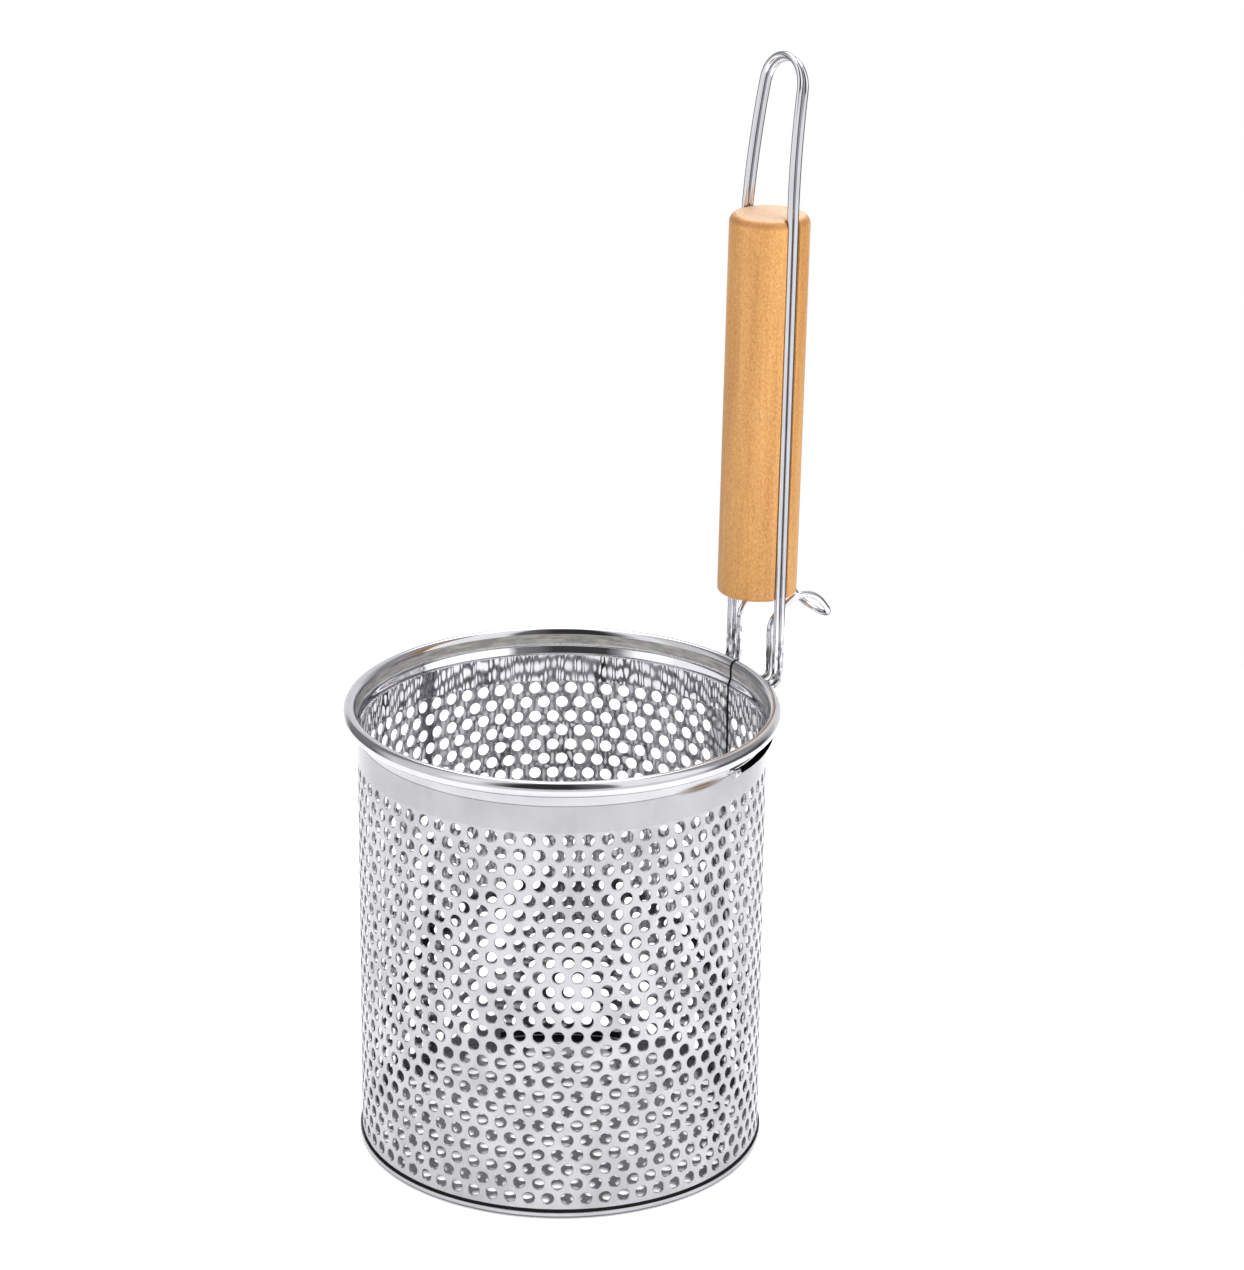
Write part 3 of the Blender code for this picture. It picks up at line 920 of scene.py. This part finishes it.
def turned_right(start, heading, radius, angle, count):
    """The points of a bend to the right in the XZ plane after its start, and its last heading."""
    side = heading - 90.0
    turn = math.radians(side)
    centre = (start[0] + radius * math.cos(turn), start[1] + radius * math.sin(turn))
    points = arc(centre, radius, side + 180.0, side + 180.0 - angle, count)
    return [tuple(p) for p in points[1:]], heading - angle


def ahead_of(start, distance, heading):
    turn = math.radians(heading)
    return (start[0] + distance * math.cos(turn), start[1] + distance * math.sin(turn))


def make_hook(looks):
    """Two stems between the legs, rising over a round crown and falling to a rounded tip."""
    stem = welded_start(HOOK_X, HOOK_Y)
    profile, heading = [(HOOK_X, HOOK_STEM_TOP)], 90.0
    for radius, angle, count, onwards in HOOK_BENDS:
        bend, heading = turned_right(profile[-1], heading, radius, angle, count)
        profile += bend
        profile.append(ahead_of(profile[-1], onwards, heading))
    rise = [(x, HOOK_Y, z) for x, z in profile]
    tip = []
    for angle in np.linspace(0.0, math.pi / 2, LOOP_STEPS)[1:]:
        x, z = ahead_of(profile[-1], HOOK_TIP_REACH * math.sin(angle), heading)
        tip.append((x, HOOK_Y * math.cos(angle), z))
    path = across_mirror(stem + rise + tip)
    hook = make_wire("pot_hook_wire", path, WIRE_STEP / 2, 0.0, looks)
    stand_in(hook, "hook_wire")


# ---- welds ----


def make_weld(name, node, side, at, z, azimuths, radius, looks):
    """A bead of weld along the wall: a lumpy drop that swells and thins along its length."""
    lead = math.degrees(radius / at) * WELD_LEAD
    line = arc((0.0, 0.0), at, azimuths[0] - lead, azimuths[1] + lead, WELD_STEPS)
    path = np.array([(x, side * y, z) for x, y in line])
    share = np.linspace(-1, 1, len(path))
    dome = np.sqrt(np.clip(1 - np.abs(share) ** WELD_BLUNTNESS, WELD_TIP, 1))
    ripple = 1 - RIPPLE * (0.5 + 0.5 * np.sin(share * RIPPLE_TURNS + side))
    rings, spokes, ahead = sweep(path, radius * dome * ripple)
    shell = Shell()
    shell.add_grid(rings, spokes, "weld", closed=True)
    for end, way in ((0, -1), (-1, 1)):
        centre = path[end] + ahead[end] * way * radius * WELD_END_CROWN
        shell.add(fan_corners(rings[end], centre), ahead[end] * way, "weld")
    weld = shell.build(name, looks)
    stand_in(weld, node)


def make_welds(looks):
    leg_z = TURN_CENTRE_Z - INNER_TURN_RADIUS
    leg = (WELD_END_RADIUS, leg_z, WELD_END_AZIMUTHS, WELD_RADIUS)
    wrap = (WRAP_WELD_AT, WRAP_WELD_Z, WRAP_WELD_AZIMUTHS, WRAP_WELD_RADIUS)
    for word, side in (("left", 1), ("right", -1)):
        make_weld("leg_bead_" + word, "leg_weld_" + word, side, *leg, looks)
        make_weld("wrap_bead_" + word, "wrap_weld_" + word, side, *wrap, looks)


# ---- materials ----


class Nodes:
    """A short way to add nodes and links to a node tree."""

    def __init__(self, tree):
        self.tree = tree

    def feed(self, node, inputs):
        """Sets each named input of a node, or links it where its value is another node's output."""
        for key, value in inputs.items():
            if isinstance(value, bpy.types.NodeSocket):
                self.tree.links.new(value, node.inputs[key])
            else:
                node.inputs[key].default_value = value

    def add(self, kind, inputs=None, **settings):
        node = self.tree.nodes.new(kind)
        for key, value in settings.items():
            setattr(node, key, value)
        self.feed(node, inputs or {})
        return node

    def place(self, kind="Object"):
        return self.add("ShaderNodeTexCoord").outputs[kind]

    def split(self, vector):
        return self.add("ShaderNodeSeparateXYZ", {"Vector": vector}).outputs

    def noise(self, vector, scale, detail=2.0, roughness=0.5):
        inputs = {"Vector": vector, "Scale": scale, "Detail": detail, "Roughness": roughness}
        return self.add("ShaderNodeTexNoise", inputs).outputs["Fac"]

    def streaks(self, vector, scale, detail=3.0, roughness=0.6):
        """Noise stretched by a scale along each axis."""
        mapped = self.add("ShaderNodeMapping", {"Vector": vector, "Scale": scale})
        return self.noise(mapped.outputs["Vector"], 1.0, detail, roughness)

    def remap(self, value, low, high, to_low=0.0, to_high=1.0):
        inputs = {
            "Value": value, "From Min": low, "From Max": high, "To Min": to_low, "To Max": to_high
        }
        return self.add("ShaderNodeMapRange", inputs, clamp=True).outputs["Result"]

    def math(self, operation, a, b):
        return self.add("ShaderNodeMath", {0: a, 1: b}, operation=operation).outputs[0]

    def vector(self, operation, a, b):
        return self.add("ShaderNodeVectorMath", {0: a, 1: b}, operation=operation).outputs[0]

    def weighed(self, a, share_a, b, share_b):
        """The sum of two values, each times its share."""
        a, b = self.math("MULTIPLY", a, share_a), self.math("MULTIPLY", b, share_b)
        return self.math("ADD", a, b)

    def blend(self, share, a, b):
        return self.add("ShaderNodeMix", {0: share, 6: a, 7: b}, data_type="RGBA").outputs[2]

    def bump(self, height, strength, distance, **under):
        inputs = {"Height": height, "Strength": strength, "Distance": distance, **under}
        return self.add("ShaderNodeBump", inputs).outputs["Normal"]


def new_look(name):
    material = bpy.data.materials.new(name)
    material.use_nodes = True
    tree = material.node_tree
    return material, Nodes(tree), tree.nodes["Principled BSDF"]


def grey(value):
    return (value, value, value * 1.05, 1.0)


def make_steel(
    name, tones, roughness, streak, bump,
    wave=0.0, wave_scale=EVEN_WAVES, tint=None, fade=None, grazing=None,
):
    """Stainless steel: cloudy tone, roughness that varies along the drawing lines, fine scratches.

    wave is the height in metres of the slow waves in the sheet. tint adds marks to the colour.
    fade is a pair of heights: the roughness runs from its low value to its high one between them.
    grazing is the tint of the reflection at the outline.
    """
    material, nodes, shader = new_look(name)
    place = nodes.place()
    lines = nodes.streaks(place, streak, 4.0)
    tone = nodes.weighed(nodes.noise(place, CLOUD_SCALE, 3.0, 0.55), 0.6, lines, 0.4)
    colour = nodes.blend(nodes.remap(tone, *TONE_SPAN), grey(tones[1]), grey(tones[0]))
    if tint:
        colour = tint(nodes, place, colour)
    rough = nodes.remap(lines, *ROUGH_SPAN, *roughness)
    if fade:
        height = nodes.split(place)["Z"]
        rough = nodes.remap(height, *fade, *roughness)
        rubbed = nodes.remap(nodes.streaks(place, RUB_STREAK), 0.38, 0.62)
        faded = nodes.blend(rubbed, *FADED_TONES)
        colour = nodes.blend(nodes.remap(height, *fade), colour, faded)
    raised = nodes.bump(lines, bump, SCRATCH_DEPTH)
    if wave:
        swell = nodes.streaks(place, wave_scale, 1.5, 0.45)
        raised = nodes.bump(swell, 1.0, wave, Normal=raised)
    surface = {"Base Color": colour, "Roughness": rough, "Metallic": 1.0, "Normal": raised}
    nodes.feed(shader, surface)
    if grazing:
        shader.inputs["Specular Tint"].default_value = grazing
    return material


def heat_tint(nodes, place, colour):
    """Brown heat marks on the neck, just past the ends of the wrapped wire."""
    for side in (1, -1):
        azimuth = side * math.radians(HEAT_AZIMUTH)
        spot = (WALL_RADIUS * math.cos(azimuth), WALL_RADIUS * math.sin(azimuth), HEAT_Z)
        reach = nodes.vector("MULTIPLY", nodes.vector("SUBTRACT", place, spot), HEAT_FALL)
        far = nodes.add("ShaderNodeVectorMath", {0: reach}, operation="LENGTH").outputs["Value"]
        colour = nodes.blend(nodes.remap(far, *HEAT_FADE, 1.0, 0.0), colour, HEAT_BROWN)
    return colour


def wire_marks(nodes, place, colour):
    """Mottled tarnish and painted dark reflection low on the wires, painted shade on the wrap under
    the rim, and painted highlights at its cut ends.
    """
    parts = nodes.split(place)
    # Tarnish low on the wires, partly painted dark reflection
    low = nodes.remap(parts["Z"], TARNISH_AND_REFLECTION_FULL, TARNISH_AND_REFLECTION_END, 1.0, 0.0)
    spots = nodes.remap(nodes.streaks(place, TARNISH_AND_REFLECTION_BLOTCH), 0.44, 0.58, 0.0, 0.85)
    colour = nodes.blend(nodes.math("MULTIPLY", low, spots), colour, TARNISH_AND_REFLECTION_BROWN)
    # Painted shade on the wrapped wire under the rim, and a painted highlight at its cut ends
    wrapped = nodes.remap(parts["Z"], *WRAP_SHADE_Z, 1.0, 0.0)
    past_end = nodes.remap(parts["X"], *WRAP_SHADE_START)
    before_leg = nodes.remap(parts["X"], *WRAP_SHADE_STOP, 1.0, 0.0)
    shade = nodes.math("MULTIPLY", wrapped, nodes.math("MULTIPLY", past_end, before_leg))
    colour = nodes.blend(shade, colour, WRAP_SHADE_COLOUR)
    at_end = nodes.remap(parts["X"], *WRAP_SHADE_START, 1.0, 0.0)
    return nodes.blend(nodes.math("MULTIPLY", wrapped, at_end), colour, CUT_END_HIGHLIGHT)


def make_crevice():
    """Near-black steel at the bottom of a joint: painted shade in the seam and above the cap's lip."""
    material, nodes, shader = new_look("crevice_shade")
    speck = nodes.noise(nodes.place(), CREVICE_SPECKS, 3.0)
    colour = nodes.blend(speck, *CREVICE_TONES)
    rough = nodes.remap(speck, *ROUGH_SPAN, 0.6, 0.9)
    nodes.feed(shader, {"Base Color": colour, "Roughness": rough, "Specular IOR Level": 0.1})
    return material


def make_wood():
    """Close-grained wood under a thin satin lacquer, with a paler end face and a darker shoulder."""
    material, nodes, shader = new_look("grip_wood")
    place = nodes.place()
    fine = nodes.streaks(place, WOOD_FINE)
    share = nodes.weighed(fine, 0.72, nodes.streaks(place, WOOD_FIBRE, 4.0), 0.28)
    tone = nodes.remap(share, *TONE_SPAN)
    drift = nodes.remap(nodes.streaks(place, WOOD_BROAD, 2.0, 0.5), 0.35, 0.65)
    grain = nodes.blend(tone, *GRAIN_TONES)
    body = nodes.blend(0.35, grain, nodes.blend(drift, *DRIFT_TONES))
    upwards = nodes.split(nodes.add("ShaderNodeNewGeometry").outputs["Normal"])["Z"]
    end = nodes.remap(upwards, *END_FACING)
    colour = nodes.blend(end, body, nodes.blend(tone, *END_TONES))
    rising = nodes.remap(upwards, *BROWN_COMES, 0.0, 0.6)
    falling = nodes.remap(upwards, *BROWN_GOES, 1.0, 0.0)
    colour = nodes.blend(nodes.math("MULTIPLY", rising, falling), colour, SHOULDER_BROWN)
    rough = nodes.remap(fine, *ROUGH_SPAN, 0.42, 0.58)
    raised = nodes.bump(share, 0.25, PORE_DEPTH)
    nodes.feed(shader, {"Base Color": colour, "Roughness": rough, "Normal": raised})
    nodes.feed(shader, {"Coat Weight": 0.12, "Coat Roughness": 0.35})
    return material


def make_looks():
    """Every look by name. A steel has two tones, its roughness, its drawing lines and their bump."""
    looks = {"crevice_shade": make_crevice(), "wood": make_wood()}

    def steel(name, *values, **extras):
        looks[name] = make_steel(name, *values, **extras)

    steel("wall_outside", (0.51, 0.38), (0.22, 0.32), UPRIGHT, 0.06, wave=0.00008)
    steel("wall_inside", (0.41, 0.33), (0.04, 0.09), UPRIGHT, 0.02, wave=0.0002)
    inside_wave = {"wave": 0.00032, "wave_scale": TALL_WAVES}
    steel("band_inside", (0.60, 0.52), (0.02, 0.06), UPRIGHT, 0.01, **inside_wave)
    steel("hole_edge", (0.50, 0.38), (0.24, 0.36), UPRIGHT, 0.10)
    steel("band", (0.43, 0.345), (0.18, 0.28), UPRIGHT, 0.05, wave=0.00006, tint=heat_tint)
    # Painted shade: the thin dark line where the neck starts
    steel("crease_shade", (0.30, 0.18), (0.30, 0.45), LEVEL, 0.05)
    steel("neck", (0.50, 0.43), (0.12, 0.20), LEVEL, 0.04, tint=heat_tint)
    steel("neck_inside", (0.90, 0.84), NECK_INSIDE_ROUGHNESS, LEVEL, 0.02, fade=NECK_FADE)
    # Painted shade for the neck behind the wrapped wire and for the far side of the foot inside
    steel("neck_shade", (0.06, 0.01), (0.30, 0.45), LEVEL, 0.05)
    steel("rim", (0.60, 0.54), (0.05, 0.10), LEVEL, 0.02, wave=0.00003)
    steel("cap", (0.50, 0.40), (0.14, 0.24), LEVEL, 0.04)
    steel("cap_inside", (0.32, 0.22), (0.14, 0.24), LEVEL, 0.05)
    steel("cap_lip", (0.52, 0.42), (0.14, 0.24), LEVEL, 0.04)
    # Painted shade along the bottom edge, where the basket meets the floor
    steel("cap_corner_shade", (0.18, 0.12), (0.20, 0.30), LEVEL, 0.04)
    wire_extras = {"tint": wire_marks, "grazing": WIRE_EDGE_TONE}
    steel("wire", (0.76, 0.68), (0.05, 0.10), ALONG_WIRE, 0.03, **wire_extras)
    steel("weld", (0.62, 0.34), (0.25, 0.50), LUMPS, 0.5)
    steel("rim_ring", (0.60, 0.50), (0.20, 0.35), LEVEL, 0.1)
    return looks


# ---- studio ----


def make_camera():
    data = bpy.data.cameras.new("camera")
    data.lens = CAMERA_LENS
    data.sensor_width = SENSOR
    data.sensor_fit = "AUTO"
    camera = add_object("camera", data)
    level = math.cos(CAMERA_DROP)
    ahead = (-math.sin(CAMERA_HEADING) * level, math.cos(CAMERA_HEADING) * level)
    forward = Vector((*ahead, -math.sin(CAMERA_DROP)))
    turn = forward.to_track_quat("-Z", "Y").to_matrix().to_4x4()
    roll = Matrix.Rotation(CAMERA_ROLL, 4, "Z")
    camera.matrix_world = Matrix.Translation(CAMERA_PLACE) @ turn @ roll
    bpy.context.scene.camera = camera


def make_floor():
    mesh = bpy.data.meshes.new("floor")
    ring = circle((0.0, 0.0), FLOOR_RADIUS, FLOOR_STEPS)
    mesh.from_pydata([(x, y, FLOOR_Z) for x, y in ring], [], [list(range(FLOOR_STEPS))])
    floor = add_object("floor", mesh)
    material, nodes, shader = new_look("floor_white")
    nodes.feed(shader, {"Base Color": FLOOR_GREY, "Roughness": 0.9})
    nodes.feed(shader, {"Emission Color": WHITE, "Emission Strength": FLOOR_GLOW})
    mesh.materials.append(material)


def round_ramp(nodes, azimuth, stops):
    """Brightness round the horizon, from stops of degrees from the camera's side and brightness."""
    node = nodes.add("ShaderNodeValToRGB", {"Fac": azimuth})
    marks = node.color_ramp.elements
    for _ in range(len(stops) - len(marks)):
        marks.new(0.5)
    for mark, (degrees, value) in zip(marks, stops):
        mark.position = (degrees + 180.0) / 360.0
        mark.color = (value, value, value, 1.0)
    return node.outputs["Color"]


def make_world():
    """A white studio with a dark stretch on the camera's side, and two soft boxes beside it."""
    world = bpy.data.worlds.new("studio")
    bpy.context.scene.world = world
    world.use_nodes = True
    tree = world.node_tree
    tree.nodes.clear()
    nodes = Nodes(tree)
    inputs = {"Vector": nodes.place("Generated"), "Angle": -CAMERA_HEADING}
    turned = nodes.add("ShaderNodeVectorRotate", inputs, rotation_type="Z_AXIS").outputs["Vector"]
    parts = nodes.split(turned)
    angle = nodes.math("ARCTAN2", parts["X"], nodes.math("MULTIPLY", parts["Y"], -1.0))
    azimuth = nodes.remap(angle, -math.pi, math.pi)
    below, above = (round_ramp(nodes, azimuth, stops) for stops in (STUDIO_BELOW, STUDIO_ROUND))
    around_it = nodes.blend(nodes.remap(parts["Z"], *HORIZON), below, above)
    seen = nodes.blend(nodes.remap(parts["Z"], *ZENITH), around_it, STUDIO_TOP)
    camera_ray = nodes.add("ShaderNodeLightPath").outputs["Is Camera Ray"]
    colour = nodes.blend(camera_ray, seen, WHITE)
    background = nodes.add("ShaderNodeBackground", {"Color": colour, "Strength": 1.0})
    nodes.add("ShaderNodeOutputWorld", {"Surface": background.outputs[0]})


def make_light(name, place, aim, side, watts, in_reflections):
    data = bpy.data.lights.new(name, "AREA")
    data.shape = "RECTANGLE"
    data.size = data.size_y = side
    data.energy = watts
    light = add_object(name, data)
    light.location = place
    light.rotation_euler = (Vector(aim) - Vector(place)).to_track_quat("-Z", "Y").to_euler()
    light.visible_glossy = in_reflections


def make_studio():
    make_floor()
    make_world()
    for light in LIGHTS:
        make_light(*light)
    settings = bpy.context.scene.view_settings
    settings.view_transform = "Standard"
    settings.look = "None"


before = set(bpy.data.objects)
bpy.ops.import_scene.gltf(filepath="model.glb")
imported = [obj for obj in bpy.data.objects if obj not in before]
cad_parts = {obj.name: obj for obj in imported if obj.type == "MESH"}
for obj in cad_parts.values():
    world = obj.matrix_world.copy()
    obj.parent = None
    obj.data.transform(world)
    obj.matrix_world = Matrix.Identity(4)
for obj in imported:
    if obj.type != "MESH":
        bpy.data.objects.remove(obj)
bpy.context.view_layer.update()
make_camera()
looks = make_looks()
make_wall(looks)
make_bottom_cap(looks)
make_grip(looks)
make_handle_wires(looks)
make_hook(looks)
make_welds(looks)
ring_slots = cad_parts["rim_wire"].material_slots
ring_slots[0].material = looks["rim_ring"]
make_studio()
